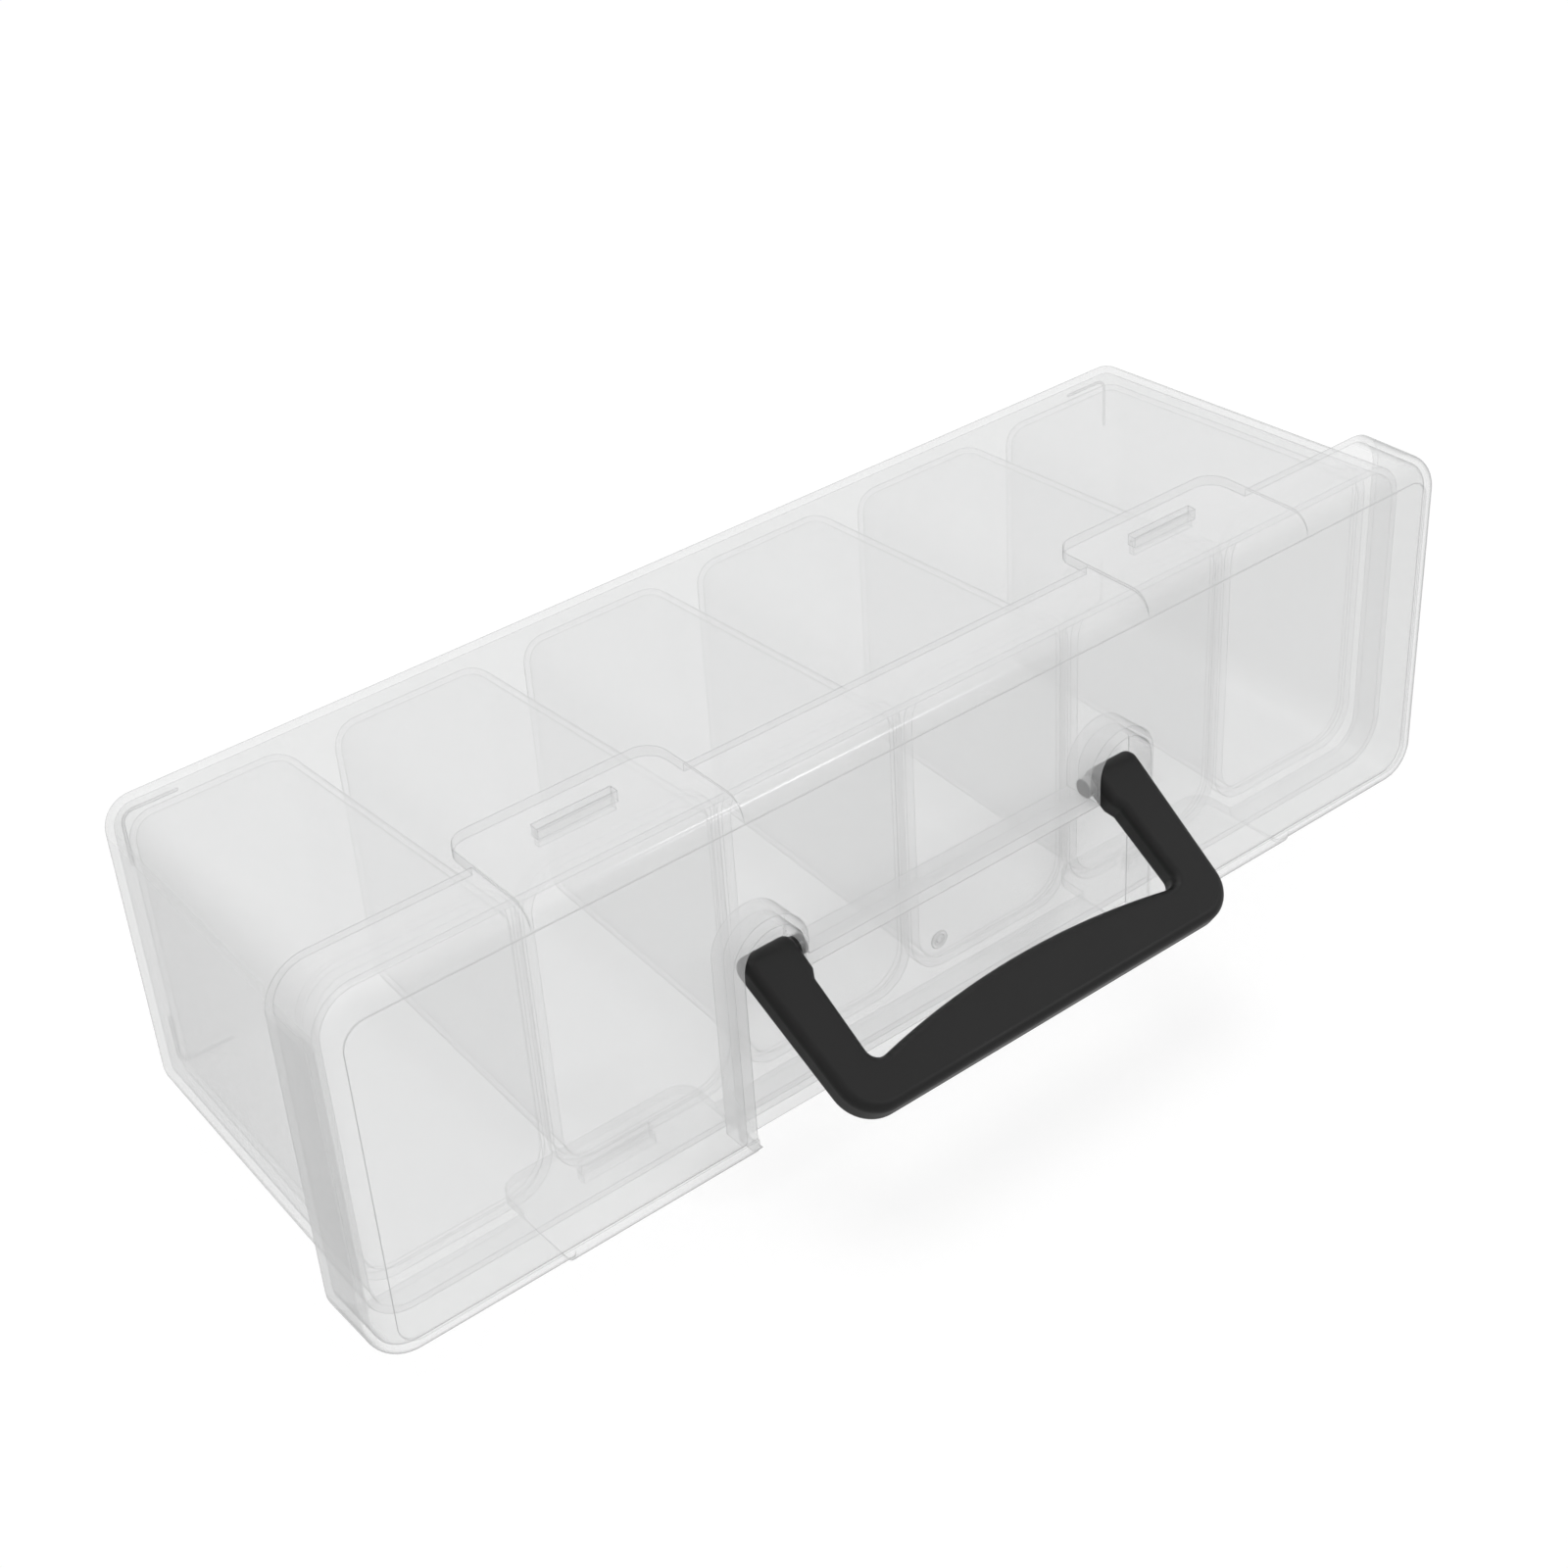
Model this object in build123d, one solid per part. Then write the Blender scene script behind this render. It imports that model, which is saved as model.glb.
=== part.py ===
# Seed storage box: a translucent case with a press-on lid, a swinging handle and six inner tubs.
# Row frame in millimetres: X along the case, Z up as it lies on a long side, and -Y towards the lid.
# The origin is the centre of the base's outer face. "Reach" is the distance from it towards the lid.
import os
from math import radians, tan

from build123d import *

# Closed case
case_length = 336.0
case_height = 100.0
case_depth = 112.0
draft = 2.2

# Lid
lid_wall = 2.0
lid_skirt = 21.0
lid_corner = 11.0
lid_edge = 5.5
panel_inset = 5.75
panel_corner = 6.0
panel_step = 0.6

# Case body
body_wall = 2.0
body_corner = 8.0
body_edge = 5.0
skirt_gap = 1.9
rim_gap = 0.4

# Latch tabs on the lid's long sides and the catches that stand in their slots
tab_spacing = 178.0
tab_width = 55.5
tab_rise = 0.8
tab_overhang = 12.0
tab_corner = 6.0
slot_length = 21.0
slot_width = 2.5
slot_from_skirt = 2.0
catch_gap = 0.3
catch_engagement = 1.2
catch_crest_share = 0.4

# Handle recess in the lid's face
recess_width = 128.0
recess_depth = 8.4
recess_top = -2.8
pocket_width = 17.5
pocket_rise = 3.0

# Handle, measured from its pivot axis
pivot_height = 1.0
handle_thickness = 7.2
handle_head_width = 124.0
handle_grip_width = 119.0
handle_inner_width = 96.5
handle_drop = 44.0
head_step = 1.2
head_step_drop = 7.0
grip_corner_width = 11.0
grip_middle_width = 16.2
handle_outer_corner = 10.0
handle_inner_corner = 3.0
handle_edge = 2.2
handle_gap = 0.3
handle_swing = 58.0
pin_radius = 2.5
pin_gap = 0.08
pin_length = 2.4

# Inner tubs
tub_count = 6
tub_wall = 1.5
tub_corner = 7.0
tub_edge = 8.0
tub_lip = 1.0
tub_lip_depth = 3.0
tub_gap = 0.4
tub_floor_gap = 0.3
tub_from_rim = 8.4

slope = tan(radians(draft))
floor_of_recess = case_depth - recess_depth
skirt_reach = case_depth - lid_skirt
body_reach = floor_of_recess - lid_wall - rim_gap
body_length = case_length - 2 * (lid_wall + skirt_gap + slope * body_reach)
body_height = case_height - 2 * (lid_wall + skirt_gap + slope * body_reach)
pivot_reach = floor_of_recess + handle_gap + handle_thickness / 2
slot_reach = skirt_reach - slot_from_skirt
cavity_length = body_length - 2 * body_wall
cavity_height = body_height - 2 * body_wall


def at_reach(reach):
    """Plane across the case at a reach, with its local x along X, its y along Z and facing the lid."""
    return Plane.XZ.offset(reach)


def drafted_block(length, height, start, end, corner, edge):
    """Block from reach start to reach end whose outline follows the case's draft.

    length, height and corner hold at reach 0, and edge rounds the block's closed end."""
    grow = 2 * slope * start
    outline = RectangleRounded(length + grow, height + grow, corner + grow / 2)
    block = extrude(at_reach(start) * outline, end - start, taper=-draft)
    closed_end = block.edges().group_by(Axis.Y)[-1]
    return fillet(closed_end, edge)


def case_body():
    """Drafted tub with a rounded base, and four wedge catches on its long sides."""
    body = drafted_block(body_length, body_height, 0, body_reach, body_corner, body_edge)
    body -= drafted_block(
        cavity_length, cavity_height, body_wall, body_reach + 1, body_corner - body_wall, body_edge - body_wall
    )
    return body + catches()


def catches():
    """Wedges on both long sides that rise through the tabs' slots, sloped towards the mouth."""
    foot = body_height / 2 + slope * slot_reach - body_wall / 2
    crest = case_height / 2 - lid_wall + catch_engagement
    back = slot_reach - slot_width / 2 + catch_gap
    front = slot_reach + slot_width / 2 - catch_gap
    length = slot_length - 2 * catch_gap
    slope_start = back + catch_crest_share * (front - back)
    profile = Polyline((back, foot), (back, crest), (slope_start, crest), (front, foot), close=True)
    wedge = Plane.YZ * mirror(make_face(profile), Plane.YZ)
    one = extrude(wedge, length / 2, both=True)
    row = [Pos(side * tab_spacing / 2, 0, 0) * one for side in (-1, 1)]
    upper = Part() + row
    return upper + mirror(upper, Plane.XY)


def lid_block(height, start):
    """Outer form of the lid at a given height, its face edges rounded over."""
    outline = RectangleRounded(case_length, height, lid_corner)
    block = extrude(at_reach(start) * outline, case_depth - start)
    return fillet(block.edges().group_by(Axis.Y)[0], lid_edge)


def lid_hollow():
    """Space inside the lid, open towards the body."""
    outline = RectangleRounded(case_length - 2 * lid_wall, case_height - 2 * lid_wall, lid_corner - lid_wall)
    block = extrude(at_reach(0) * outline, case_depth - lid_wall)
    return fillet(block.edges().group_by(Axis.Y)[0], lid_edge - lid_wall)


def recess_outline(grow):
    """Front view of the handle recess with its two round-topped pivot pockets, grown by a wall."""
    drop = case_height / 2 + recess_top + grow
    outline = Pos(0, recess_top + grow - drop / 2) * Rectangle(recess_width + 2 * grow, drop)
    for side in (-1, 1):
        centre = side * (recess_width - pocket_width) / 2
        reach_down = pivot_height + pocket_rise - recess_top
        head = Circle(pocket_width / 2 + grow)
        neck = Pos(0, -reach_down / 2) * Rectangle(pocket_width + 2 * grow, reach_down)
        outline += Pos(centre, pivot_height + pocket_rise) * (head + neck)
    return outline


def latch_pads():
    """Raised pads over the lid's long sides, run on past the skirt as tabs with a slot each."""
    start = skirt_reach - tab_overhang
    form = lid_block(case_height + 2 * tab_rise, start)
    outlines = Sketch()
    slots = Sketch()
    for side in (-1, 1):
        middle = side * tab_spacing / 2
        pad_run = case_depth - start + tab_corner
        pad = RectangleRounded(tab_width, pad_run, tab_corner)
        outlines += Pos(middle, -start - pad_run / 2) * pad
        slots += Pos(middle, -slot_reach) * Rectangle(slot_length, slot_width)
    columns = extrude(outlines, case_height, both=True)
    return form & columns, extrude(slots, case_height, both=True)


def lid():
    """Cap with a skirt, a stepped face panel, the handle recess with its pin bores, and latch pads."""
    pads, slots = latch_pads()
    cap = lid_block(case_height, skirt_reach) + pads
    recess_wall = extrude(at_reach(floor_of_recess - lid_wall) * recess_outline(lid_wall), recess_depth + lid_wall)
    cap -= lid_hollow() - recess_wall
    cap -= extrude(at_reach(floor_of_recess) * recess_outline(0), recess_depth + lid_wall)
    panel_length = case_length - 2 * panel_inset
    panel_height = case_height - 2 * panel_inset
    cap -= extrude(
        at_reach(case_depth - panel_step) * RectangleRounded(panel_length, panel_height, panel_corner), lid_wall
    )
    pocket_side = recess_width / 2 - pocket_width
    cap -= pin_cylinders(pin_radius + pin_gap, pocket_side - lid_wall - pin_gap, lid_wall + 2 * pin_gap)
    return cap - slots


def pin_cylinders(radius, start, length):
    """Pair of cylinders on the handle's pivot axis, each running outwards from x = start on its side."""
    right = Pos(start + length / 2, -pivot_reach, pivot_height) * Rot(0, 90, 0) * Cylinder(radius, length)
    return Part() + right + mirror(right, Plane.YZ)


def handle_outline():
    """Front view of the hanging handle, its pivot axis at y = 0: tapered arms, each stepped inwards at its
    head, and an arched grip."""
    head = handle_thickness / 2
    outer = Polyline(
        (-handle_head_width / 2, head),
        (-handle_grip_width / 2, -handle_drop),
        (handle_grip_width / 2, -handle_drop),
        (handle_head_width / 2, head),
        close=True,
    )
    bail = make_face(outer)
    bail = fillet(bail.vertices().group_by(Axis.Y)[0], handle_outer_corner)
    half = handle_inner_width / 2
    grip_corner = grip_corner_width - handle_drop
    grip_middle = grip_middle_width - handle_drop
    step_end = (half, -head_step_drop - 2 * head_step)
    step_start = (half - head_step, -head_step_drop)
    top = (half - head_step, 2 * head)
    right = [(half, grip_corner), step_end, step_start, top]
    left = [(-x, y) for x, y in reversed(right)]
    arch = ThreePointArc(left[-1], (0, grip_middle), right[0])
    window = make_face(Polyline(*right, *left) + arch)
    window = fillet(window.vertices().group_by(Axis.Y)[0], handle_inner_corner)
    return bail - window


def carry_handle():
    """Bail with rounded edges and a round head on each arm, swung out about its pins."""
    flat = extrude(at_reach(-handle_thickness / 2) * handle_outline(), handle_thickness)
    heads = flat.edges().filter_by(Axis.X).group_by(Axis.Z)[-1]
    flat = fillet(heads, handle_thickness / 2 - 0.01)
    rims = flat.faces().sort_by(Axis.Y)
    flat = fillet(rims[0].edges() + rims[-1].edges(), handle_edge)
    head_side = handle_inner_width / 2 - head_step
    pins = Pos(0, pivot_reach, -pivot_height) * pin_cylinders(
        pin_radius, head_side - pin_length, pin_length + handle_edge
    )
    return Pos(0, -pivot_reach, pivot_height) * Rot(-handle_swing, 0, 0) * (flat + pins)


def seed_tub():
    """One drafted inner tub centred on x = 0, with a lip round its mouth."""
    mouth = body_reach - tub_from_rim
    floor = body_wall + tub_floor_gap
    length = cavity_length / tub_count + 2 * slope * mouth / tub_count - 2 * slope * mouth
    length -= 2 * (tub_gap + tub_lip)
    height = cavity_height - 2 * (tub_gap + tub_lip)
    tub = drafted_block(length, height, floor, mouth, tub_corner, tub_edge)
    grow = 2 * slope * mouth
    lip = RectangleRounded(length + grow + 2 * tub_lip, height + grow + 2 * tub_lip, tub_corner + grow / 2)
    tub += extrude(at_reach(mouth - tub_lip_depth) * lip, tub_lip_depth)
    tub -= drafted_block(
        length - 2 * tub_wall,
        height - 2 * tub_wall,
        floor + tub_wall,
        mouth + 1,
        tub_corner - tub_wall,
        tub_edge - tub_wall,
    )
    return tub


def main():
    os.makedirs("parts", exist_ok=True)
    nodes = {"case_body": case_body(), "lid": lid(), "carry_handle": carry_handle()}
    tub = seed_tub()
    mouth = body_reach - tub_from_rim
    tub_pitch = (cavity_length + 2 * slope * mouth) / tub_count
    for index in range(tub_count):
        centre = (index - (tub_count - 1) / 2) * tub_pitch
        nodes[f"seed_tub_{index + 1}"] = Pos(centre, 0, 0) * tub
    for name, shape in nodes.items():
        export_step(shape, f"parts/{name}.step")


main()
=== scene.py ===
from math import cos, pi, radians, sin

import bmesh
import bpy
from mathutils import Matrix, Vector


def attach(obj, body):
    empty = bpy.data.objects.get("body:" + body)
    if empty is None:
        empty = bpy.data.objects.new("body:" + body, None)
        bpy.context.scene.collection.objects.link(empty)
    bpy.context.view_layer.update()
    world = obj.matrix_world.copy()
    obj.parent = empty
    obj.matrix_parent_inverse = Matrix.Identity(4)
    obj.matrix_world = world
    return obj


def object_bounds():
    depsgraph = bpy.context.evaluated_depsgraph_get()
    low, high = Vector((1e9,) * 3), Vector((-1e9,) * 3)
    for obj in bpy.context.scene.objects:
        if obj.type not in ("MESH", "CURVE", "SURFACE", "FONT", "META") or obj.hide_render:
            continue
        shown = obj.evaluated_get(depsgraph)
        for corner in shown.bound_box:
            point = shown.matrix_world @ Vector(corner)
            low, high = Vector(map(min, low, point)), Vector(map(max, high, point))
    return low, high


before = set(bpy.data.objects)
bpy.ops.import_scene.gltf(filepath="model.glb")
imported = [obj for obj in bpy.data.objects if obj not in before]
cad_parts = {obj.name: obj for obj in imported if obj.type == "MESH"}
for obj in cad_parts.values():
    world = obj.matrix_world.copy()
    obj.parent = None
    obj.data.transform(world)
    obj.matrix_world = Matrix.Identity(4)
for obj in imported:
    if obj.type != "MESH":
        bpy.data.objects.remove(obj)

cad_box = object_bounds()


# Case body: a drafted tub moulded in natural polypropylene, about 2 mm thick and open at the lid end.
# The plastic is milky: a wall hides little square on, more at a glancing angle, and looks denser along
# each corner, where the eye looks through more of it. There its colour is also painted darker, partly for
# that depth and partly as painted shade for the dark lines that clear edges show. It passes most of the
# light on to what it holds.
def start_group(name, inputs, outputs):
    group = bpy.data.node_groups.new(name, "ShaderNodeTree")
    for label in inputs:
        group.interface.new_socket(label, in_out="INPUT", socket_type="NodeSocketFloat")
    for label, kind in outputs:
        group.interface.new_socket(label, in_out="OUTPUT", socket_type=kind)
    return group, group.nodes.new("NodeGroupInput"), group.nodes.new("NodeGroupOutput")


def corner_mask_group():
    """Mask that rises where the surface turns sharply within a given width."""
    still_flat = 0.98
    fully_turned = 0.75
    group, given, result = start_group("corner_mask", ["Width"], [("Edge", "NodeSocketFloat")])
    rounded = group.nodes.new("ShaderNodeBevel")
    rounded.samples = 4
    surface = group.nodes.new("ShaderNodeNewGeometry")
    agreement = group.nodes.new("ShaderNodeVectorMath")
    agreement.operation = "DOT_PRODUCT"
    mask = group.nodes.new("ShaderNodeMapRange")
    mask.inputs["From Min"].default_value = still_flat
    mask.inputs["From Max"].default_value = fully_turned
    group.links.new(given.outputs["Width"], rounded.inputs["Radius"])
    group.links.new(rounded.outputs["Normal"], agreement.inputs[0])
    group.links.new(surface.outputs["True Normal"], agreement.inputs[1])
    group.links.new(agreement.outputs["Value"], mask.inputs["Value"])
    group.links.new(mask.outputs["Result"], result.inputs["Edge"])
    return group


def moulded_skin_group():
    """Roughness that drifts with the flow of the melt, and the mould's fine grain as a normal."""
    flow_low = 0.3
    flow_high = 0.7
    grain_distance = 0.0001
    group, given, result = start_group(
        "moulded_skin",
        ["Flow Scale", "Smoothest", "Roughest", "Grain Scale", "Grain Depth"],
        [("Roughness", "NodeSocketFloat"), ("Normal", "NodeSocketVector")],
    )
    coordinates = group.nodes.new("ShaderNodeTexCoord")
    flow = group.nodes.new("ShaderNodeTexNoise")
    flow.inputs["Detail"].default_value = 3
    drift = group.nodes.new("ShaderNodeMapRange")
    drift.inputs["From Min"].default_value = flow_low
    drift.inputs["From Max"].default_value = flow_high
    grain = group.nodes.new("ShaderNodeTexNoise")
    grain.inputs["Detail"].default_value = 2
    bump = group.nodes.new("ShaderNodeBump")
    bump.inputs["Distance"].default_value = grain_distance
    group.links.new(coordinates.outputs["Object"], flow.inputs["Vector"])
    group.links.new(given.outputs["Flow Scale"], flow.inputs["Scale"])
    group.links.new(flow.outputs["Fac"], drift.inputs["Value"])
    group.links.new(given.outputs["Smoothest"], drift.inputs["To Min"])
    group.links.new(given.outputs["Roughest"], drift.inputs["To Max"])
    group.links.new(drift.outputs["Result"], result.inputs["Roughness"])
    group.links.new(coordinates.outputs["Object"], grain.inputs["Vector"])
    group.links.new(given.outputs["Grain Scale"], grain.inputs["Scale"])
    group.links.new(grain.outputs["Fac"], bump.inputs["Height"])
    group.links.new(given.outputs["Grain Depth"], bump.inputs["Strength"])
    group.links.new(bump.outputs["Normal"], result.inputs["Normal"])
    return group


corner_mask = corner_mask_group()
moulded_skin = moulded_skin_group()


def place_group(material, group, values):
    node = material.node_tree.nodes.new("ShaderNodeGroup")
    node.node_tree = group
    for label, value in values.items():
        node.inputs[label].default_value = value
    return node


def blend_of(material, factor, low, high):
    """Value that runs from low to high as the factor goes from 0 to 1."""
    node = material.node_tree.nodes.new("ShaderNodeMapRange")
    node.inputs["To Min"].default_value = low
    node.inputs["To Max"].default_value = high
    material.node_tree.links.new(factor, node.inputs["Value"])
    return node.outputs["Result"]


def math_of(material, operation, first, second):
    node = material.node_tree.nodes.new("ShaderNodeMath")
    node.operation = operation
    node.use_clamp = True
    for socket, value in zip(node.inputs, (first, second)):
        if isinstance(value, float):
            socket.default_value = value
        else:
            material.node_tree.links.new(value, socket)
    return node.outputs["Value"]


def mixed_colour(material, factor, low, high):
    node = material.node_tree.nodes.new("ShaderNodeMix")
    node.data_type = "RGBA"
    node.inputs["A"].default_value = (*low, 1)
    node.inputs["B"].default_value = (*high, 1)
    material.node_tree.links.new(factor, node.inputs["Factor"])
    return node.outputs["Result"]


def clear_polypropylene(name, facing_cover, glancing_cover, rim_cover, rim_start):
    """Milky clear plastic. Cover is the share of what lies behind that a surface hides, and the denser
    rim starts where the surface has turned away by rim_start. Over the rim and the sharp corners the colour
    runs to a darker tint, partly for the plastic's depth and partly as painted shade."""
    # The darker tint is partly the plastic's depth and partly painted shade along rims and corners.
    thin_tint = (0.91, 0.915, 0.915)
    depth_and_painted_shade_tint = (0.4, 0.405, 0.405)
    light_passed_on = 0.08
    refractive_index = 1.49
    glance_blend = 0.16
    rim_run = 0.17
    corner_width = 0.0006
    material = bpy.data.materials.new(name)
    material.use_nodes = True
    nodes = material.node_tree.nodes
    links = material.node_tree.links
    shader = nodes["Principled BSDF"]
    shader.inputs["IOR"].default_value = refractive_index
    skin = place_group(
        material,
        moulded_skin,
        {"Flow Scale": 40, "Smoothest": 0.11, "Roughest": 0.19, "Grain Scale": 900, "Grain Depth": 0.05},
    )
    links.new(skin.outputs["Roughness"], shader.inputs["Roughness"])
    links.new(skin.outputs["Normal"], shader.inputs["Normal"])
    glance = nodes.new("ShaderNodeLayerWeight")
    glance.inputs["Blend"].default_value = glance_blend
    outline = nodes.new("ShaderNodeMapRange")
    outline.inputs["From Min"].default_value = rim_start
    outline.inputs["From Max"].default_value = rim_start + rim_run
    links.new(glance.outputs["Facing"], outline.inputs["Value"])
    corner = place_group(material, corner_mask, {"Width": corner_width}).outputs["Edge"]
    rim = math_of(material, "MAXIMUM", outline.outputs["Result"], corner)
    # Painted shade: rims and corners take the darker tint, partly for depth and partly for shade.
    links.new(mixed_colour(material, rim, thin_tint, depth_and_painted_shade_tint), shader.inputs["Base Color"])
    cover = math_of(
        material,
        "ADD",
        blend_of(material, glance.outputs["Facing"], facing_cover, glancing_cover),
        math_of(material, "MULTIPLY", rim, rim_cover),
    )
    path = nodes.new("ShaderNodeLightPath")
    lighting = math_of(material, "MAXIMUM", path.outputs["Is Shadow Ray"], path.outputs["Is Diffuse Ray"])
    passing = blend_of(material, lighting, 1.0, light_passed_on)
    links.new(math_of(material, "MULTIPLY", cover, passing), shader.inputs["Alpha"])
    return material


def dress(node, material):
    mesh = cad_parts[node].data
    mesh.materials.clear()
    mesh.materials.append(material)


case_plastic = clear_polypropylene("case_polypropylene", 0.2, 0.6, 0.36, 0.33)
dress("case_body", case_plastic)


# Corner ribs: four low L-shaped ribs moulded on the inside of the base, one at each corner. They are
# part of the body's own plastic and locate the end tubs, and show through the wall as fine lines.
rib_leg = 0.0145
rib_bend = 0.003
rib_width = 0.0008
rib_height = 0.0003
rib_row_length = 0.3104
rib_row_height = 0.0736
base_floor = -0.002


def rib_path():
    """L-shaped line in the XZ plane, its bend towards -X and +Z, about the bend's own corner."""
    bend_steps = 6
    angles = [pi / 2 * step / bend_steps for step in range(bend_steps + 1)]
    arc = [(rib_bend * (1 - cos(angle)), rib_bend * (sin(angle) - 1)) for angle in angles]
    line = [(0, -rib_leg)] + arc + [(rib_leg, 0)]
    mesh = bpy.data.meshes.new("corner_rib_path")
    mesh.from_pydata([(x, 0, z) for x, z in line], [(i, i + 1) for i in range(len(line) - 1)], [])
    return bpy.data.objects.new("base_corner_ribs", mesh)


def corner_rib_tree():
    """Sweeps the rib's section along its line and turns a copy of it into each corner of the base."""
    first_corner_heading = radians(135)
    tree = bpy.data.node_groups.new("ribs_at_corners", "GeometryNodeTree")
    tree.interface.new_socket("Geometry", in_out="INPUT", socket_type="NodeSocketGeometry")
    for label in ("Rib Width", "Rib Height", "Corner Length", "Corner Height"):
        tree.interface.new_socket(label, in_out="INPUT", socket_type="NodeSocketFloat")
    tree.interface.new_socket("Plastic", in_out="INPUT", socket_type="NodeSocketMaterial")
    tree.interface.new_socket("Geometry", in_out="OUTPUT", socket_type="NodeSocketGeometry")
    nodes = tree.nodes
    links = tree.links
    given = nodes.new("NodeGroupInput")
    result = nodes.new("NodeGroupOutput")
    line = nodes.new("GeometryNodeMeshToCurve")
    section = nodes.new("GeometryNodeCurvePrimitiveQuadrilateral")
    rib = nodes.new("GeometryNodeCurveToMesh")
    rib.inputs["Fill Caps"].default_value = True
    corners = nodes.new("GeometryNodeMeshGrid")
    corners.inputs["Vertices X"].default_value = 2
    corners.inputs["Vertices Y"].default_value = 2
    upright = nodes.new("GeometryNodeTransform")
    upright.inputs["Rotation"].default_value = (radians(90), 0, 0)
    place = nodes.new("GeometryNodeInputPosition")
    parts = nodes.new("ShaderNodeSeparateXYZ")
    turn = nodes.new("ShaderNodeCombineXYZ")
    heading = []
    for axis in ("Z", "X"):
        sign = nodes.new("ShaderNodeMath")
        sign.operation = "SIGN"
        links.new(parts.outputs[axis], sign.inputs[0])
        heading.append(sign.outputs["Value"])
    angle = nodes.new("ShaderNodeMath")
    angle.operation = "ARCTAN2"
    links.new(heading[0], angle.inputs[0])
    links.new(heading[1], angle.inputs[1])
    from_first = nodes.new("ShaderNodeMath")
    from_first.operation = "SUBTRACT"
    from_first.inputs[0].default_value = first_corner_heading
    links.new(angle.outputs["Value"], from_first.inputs[1])
    links.new(from_first.outputs["Value"], turn.inputs["Y"])
    copies = nodes.new("GeometryNodeInstanceOnPoints")
    joined = nodes.new("GeometryNodeRealizeInstances")
    coloured = nodes.new("GeometryNodeSetMaterial")
    links.new(given.outputs["Geometry"], line.inputs["Mesh"])
    links.new(given.outputs["Rib Width"], section.inputs["Width"])
    links.new(given.outputs["Rib Height"], section.inputs["Height"])
    links.new(line.outputs["Curve"], rib.inputs["Curve"])
    links.new(section.outputs["Curve"], rib.inputs["Profile Curve"])
    links.new(given.outputs["Corner Length"], corners.inputs["Size X"])
    links.new(given.outputs["Corner Height"], corners.inputs["Size Y"])
    links.new(corners.outputs["Mesh"], upright.inputs["Geometry"])
    links.new(place.outputs["Position"], parts.inputs["Vector"])
    links.new(upright.outputs["Geometry"], copies.inputs["Points"])
    links.new(rib.outputs["Mesh"], copies.inputs["Instance"])
    links.new(turn.outputs["Vector"], copies.inputs["Rotation"])
    links.new(copies.outputs["Instances"], joined.inputs["Geometry"])
    links.new(joined.outputs["Geometry"], coloured.inputs["Geometry"])
    links.new(given.outputs["Plastic"], coloured.inputs["Material"])
    links.new(coloured.outputs["Geometry"], result.inputs["Geometry"])
    return tree


def grown_mesh(source, tree, values, name):
    """Plain mesh object of what a geometry tree grows on the source with the given inputs."""
    bpy.context.collection.objects.link(source)
    modifier = source.modifiers.new(tree.name, "NODES")
    modifier.node_group = tree
    for item in tree.interface.items_tree:
        if item.in_out == "INPUT" and item.name in values:
            modifier[item.identifier] = values[item.name]
    source.update_tag()
    bpy.context.view_layer.update()
    seen = source.evaluated_get(bpy.context.evaluated_depsgraph_get())
    mesh = bpy.data.meshes.new_from_object(seen)
    bpy.data.objects.remove(source)
    piece = bpy.data.objects.new(name, mesh)
    bpy.context.collection.objects.link(piece)
    return piece


ribs = grown_mesh(
    rib_path(),
    corner_rib_tree(),
    {
        "Rib Width": rib_width,
        "Rib Height": rib_height,
        "Corner Length": rib_row_length,
        "Corner Height": rib_row_height,
        "Plastic": case_plastic,
    },
    "base_corner_ribs",
)
ribs.data.transform(Matrix.Translation((0, base_floor - rib_height / 2, 0)))
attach(ribs, "case")


# Inner tubs: six thinner mouldings of the same plastic, with a lip round each mouth. They stand side
# by side in the body and lift out by hand.
tub_plastic = clear_polypropylene("tub_polypropylene", 0.08, 0.38, 0.42, 0.33)
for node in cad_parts:
    if node.startswith("seed_tub"):
        dress(node, tub_plastic)


# Lid: a cap moulded in the same plastic as the body, with a skirt, latch tabs and the handle recess.
# It was filled through the middle of the recess, where the mould left a low ring round the gate.
lid_plastic = clear_polypropylene("lid_polypropylene", 0.2, 0.62, 0.4, 0.235)
dress("lid", lid_plastic)

gate_height = -0.024
gate_ring = (0.0016, 0.0024)
gate_pip = 0.0007
gate_rise = 0.0003
gate_pip_dome = 0.8
gate_spin_steps = 32
recess_floor = -0.1036


def gate_mark():
    """Ring and pip turned about the gate's axis, seated a little into the recess floor."""
    seat = -gate_rise / 3
    edge = gate_rise / 2
    profile = [
        (0, gate_rise), (gate_pip, gate_rise * gate_pip_dome), (gate_pip + edge, 0), (gate_ring[0] - edge, 0),
        (gate_ring[0], gate_rise), (gate_ring[1], gate_rise), (gate_ring[1] + edge, 0),
        (gate_ring[1] + edge, seat), (0, seat),
    ]
    shape = bmesh.new()
    points = [shape.verts.new((radius, -rise, 0)) for radius, rise in profile]
    outline = [shape.edges.new(pair) for pair in zip(points, points[1:])]
    bmesh.ops.spin(
        shape,
        geom=points + outline,
        cent=(0, 0, 0),
        axis=(0, 1, 0),
        angle=2 * pi,
        steps=gate_spin_steps,
        use_merge=True,
    )
    bmesh.ops.remove_doubles(shape, verts=shape.verts, dist=1e-6)
    bmesh.ops.recalc_face_normals(shape, faces=shape.faces)
    mesh = bpy.data.meshes.new("lid_gate_mark")
    shape.to_mesh(mesh)
    shape.free()
    mesh.transform(Matrix.Translation((0, recess_floor, gate_height)))
    mesh.materials.append(lid_plastic)
    piece = bpy.data.objects.new("lid_gate_mark", mesh)
    bpy.context.collection.objects.link(piece)
    return piece


gate = gate_mark()
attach(gate, "cap")
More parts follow.
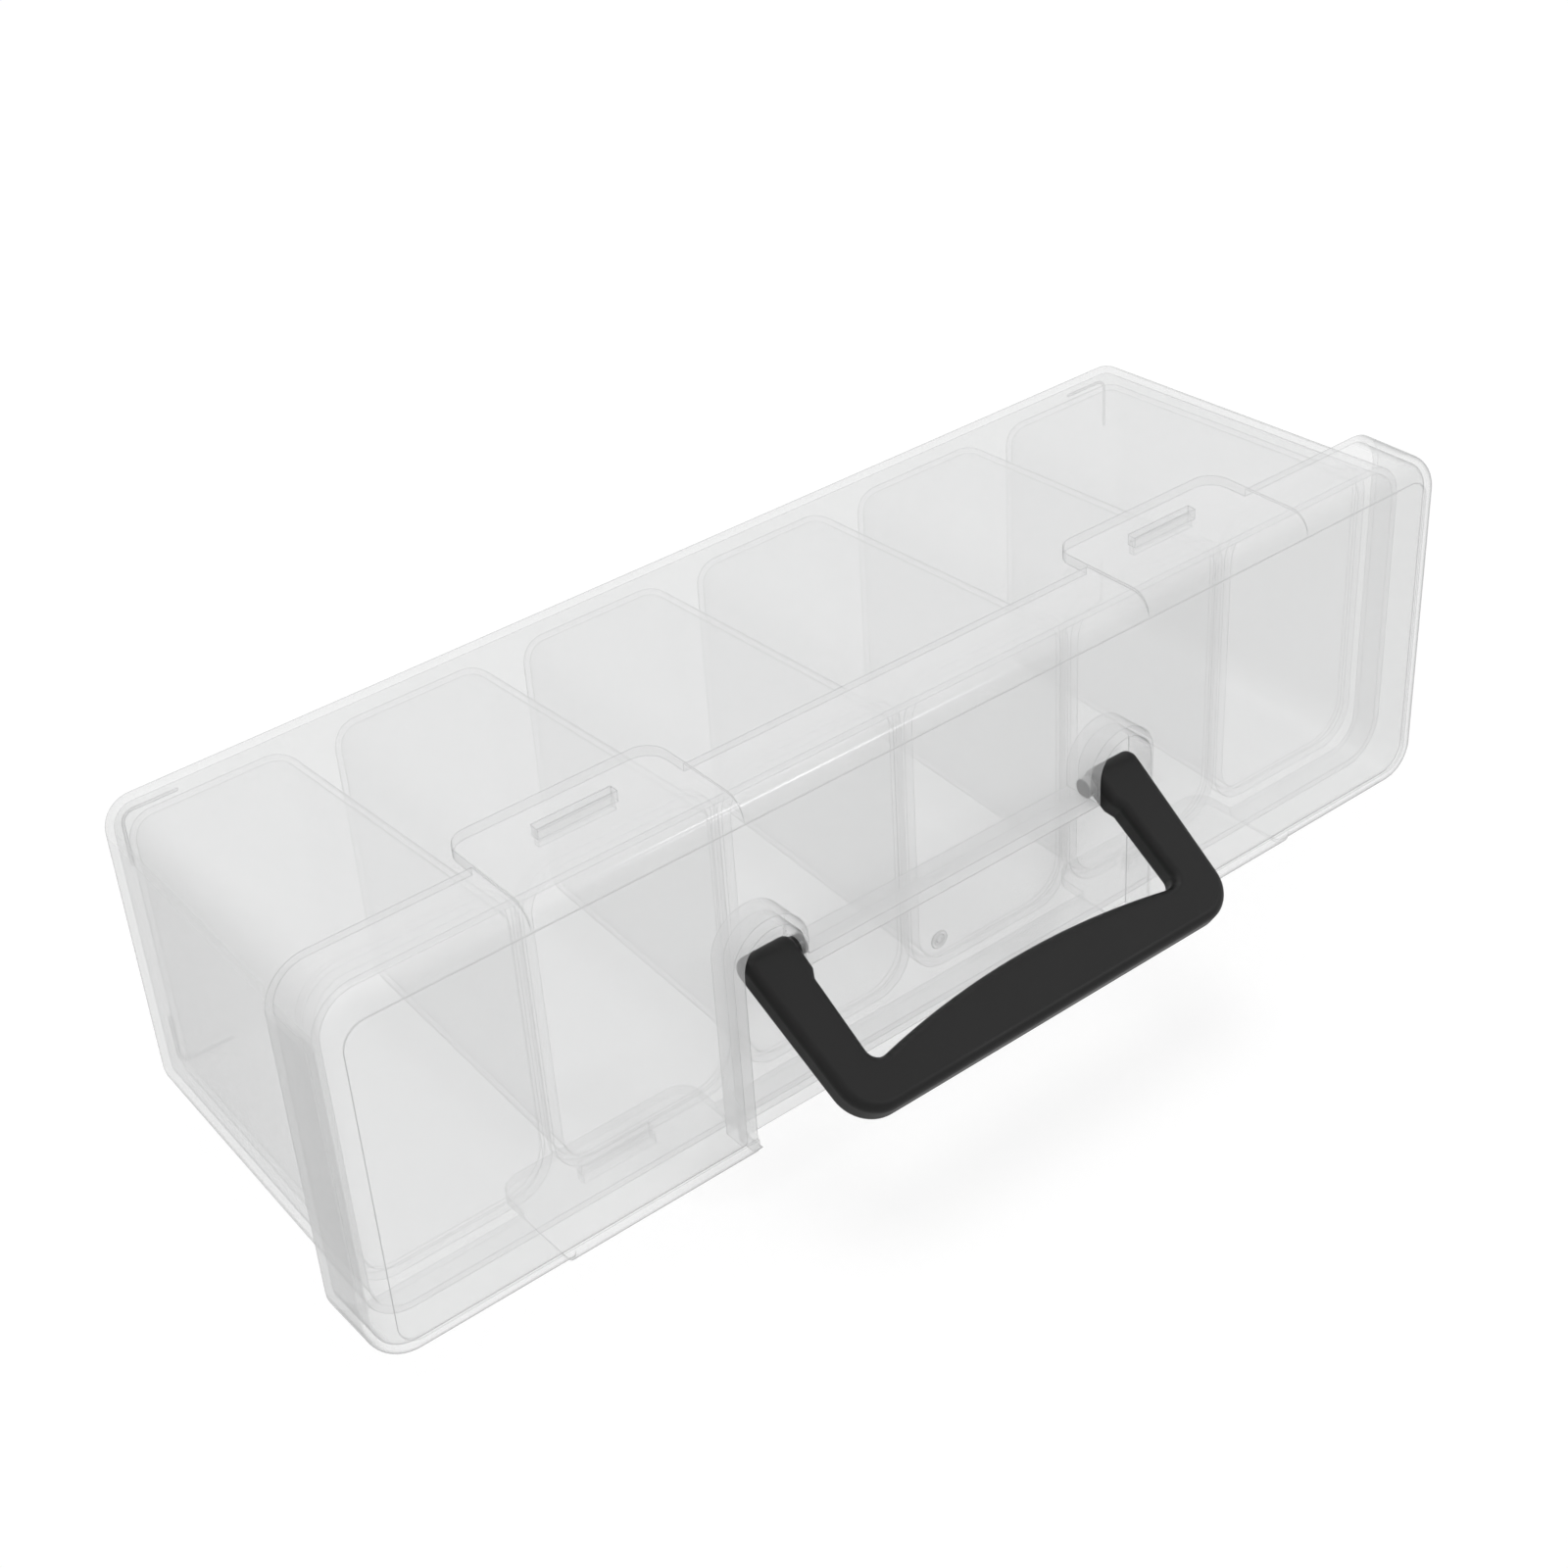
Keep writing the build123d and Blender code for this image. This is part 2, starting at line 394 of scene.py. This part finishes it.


# Carry handle: one black moulding with a satin skin, its corners painted a little lighter as a painted
# highlight. A pin inside each head turns in a bore in the lid's pocket wall.
def handle_material():
    black = (0.008, 0.008, 0.008)
    # Painted highlight: the corners' lighter black stands in for the sheen along the rounded edges.
    painted_highlight_black = (0.02, 0.02, 0.02)
    low_sheen = 0.22
    corner_width = 0.0012
    material = bpy.data.materials.new("handle_black_plastic")
    material.use_nodes = True
    links = material.node_tree.links
    shader = material.node_tree.nodes["Principled BSDF"]
    shader.inputs["Specular IOR Level"].default_value = low_sheen
    skin = place_group(
        material,
        moulded_skin,
        {"Flow Scale": 25, "Smoothest": 0.4, "Roughest": 0.5, "Grain Scale": 2600, "Grain Depth": 0.12},
    )
    links.new(skin.outputs["Roughness"], shader.inputs["Roughness"])
    links.new(skin.outputs["Normal"], shader.inputs["Normal"])
    corner = place_group(material, corner_mask, {"Width": corner_width}).outputs["Edge"]
    # Painted highlight along the corners, lighter than the black of the rest.
    links.new(mixed_colour(material, corner, black, painted_highlight_black), shader.inputs["Base Color"])
    return material


dress("carry_handle", handle_material())


# Studio: a white floor and white surround. What the camera and the plastic's reflections see is plain
# white, and the part of the floor's own colour that stays keeps the case's shadow.
floor_height = cad_box[0][2]
floor_size = 6
floor_glow = 0.775
paper_white = (0.9, 0.9, 0.9)
paper_seen = (0.28, 0.28, 0.28)
bpy.ops.mesh.primitive_plane_add(size=floor_size, location=(0, 0, floor_height))
floor = bpy.context.object
floor.name = "studio_floor"
paper = bpy.data.materials.new("studio_paper")
paper.use_nodes = True
shader = paper.node_tree.nodes["Principled BSDF"]
shader.inputs["Roughness"].default_value = 0.9
shader.inputs["Specular IOR Level"].default_value = 0
shader.inputs["Emission Color"].default_value = (1, 1, 1, 1)


def seen_directly(tree):
    """1 on rays that show the background: from the camera, in a reflection or through plastic."""
    path = tree.nodes.new("ShaderNodeLightPath")
    total = path.outputs["Is Camera Ray"]
    for label in ("Is Glossy Ray", "Is Transmission Ray"):
        either = tree.nodes.new("ShaderNodeMath")
        either.operation = "MAXIMUM"
        tree.links.new(total, either.inputs[0])
        tree.links.new(path.outputs[label], either.inputs[1])
        total = either.outputs["Value"]
    return total


seen = seen_directly(paper.node_tree)
paper.node_tree.links.new(mixed_colour(paper, seen, paper_white, paper_seen), shader.inputs["Base Color"])
paper.node_tree.links.new(blend_of(paper, seen, 0, floor_glow), shader.inputs["Emission Strength"])
floor.data.materials.append(paper)

air_on_object = 0.49
world = bpy.data.worlds.new("studio_air")
bpy.context.scene.world = world
world.use_nodes = True
air = world.node_tree.nodes["Background"]
air.inputs["Color"].default_value = (1, 1, 1, 1)
air_links = world.node_tree.links
air_links.new(blend_of(world, seen_directly(world.node_tree), air_on_object, 1.0), air.inputs["Strength"])

for name, place, spread, power in (
    ("top_light", (0.1, 0.4, 1.2), radians(40), 0.92),
    ("front_light", (0.494, -0.565, 0.661), radians(7), 0.4),
):
    lamp = bpy.data.lights.new(name, "SUN")
    lamp.angle = spread
    lamp.energy = power
    light = bpy.data.objects.new(name, lamp)
    light.location = place
    light.rotation_euler = Vector(place).to_track_quat("Z", "Y").to_euler()
    bpy.context.collection.objects.link(light)


# Camera: above the case's front left, turned and placed as in the photograph. Its direction and lens
# come from a fit to the case's straight edges.
camera_place = (-0.3312, -0.4887, 0.3715)
camera_right = Vector((0.7763, -0.6279, -0.0564)).normalized()
camera_back = Vector((-0.4937, -0.6612, 0.5648)).normalized()
lens_length = 60.7
sensor_width = 36
lens = bpy.data.cameras.new("photo_camera")
lens.lens = lens_length
lens.sensor_width = sensor_width
camera = bpy.data.objects.new("photo_camera", lens)
camera_up = camera_back.cross(camera_right)
turn = Matrix((camera_right, camera_up, camera_back)).transposed().to_4x4()
camera.matrix_world = Matrix.Translation(camera_place) @ turn
bpy.context.collection.objects.link(camera)
bpy.context.scene.camera = camera

bpy.context.scene.view_settings.view_transform = "Standard"
bpy.context.scene.cycles.transparent_max_bounces = 64
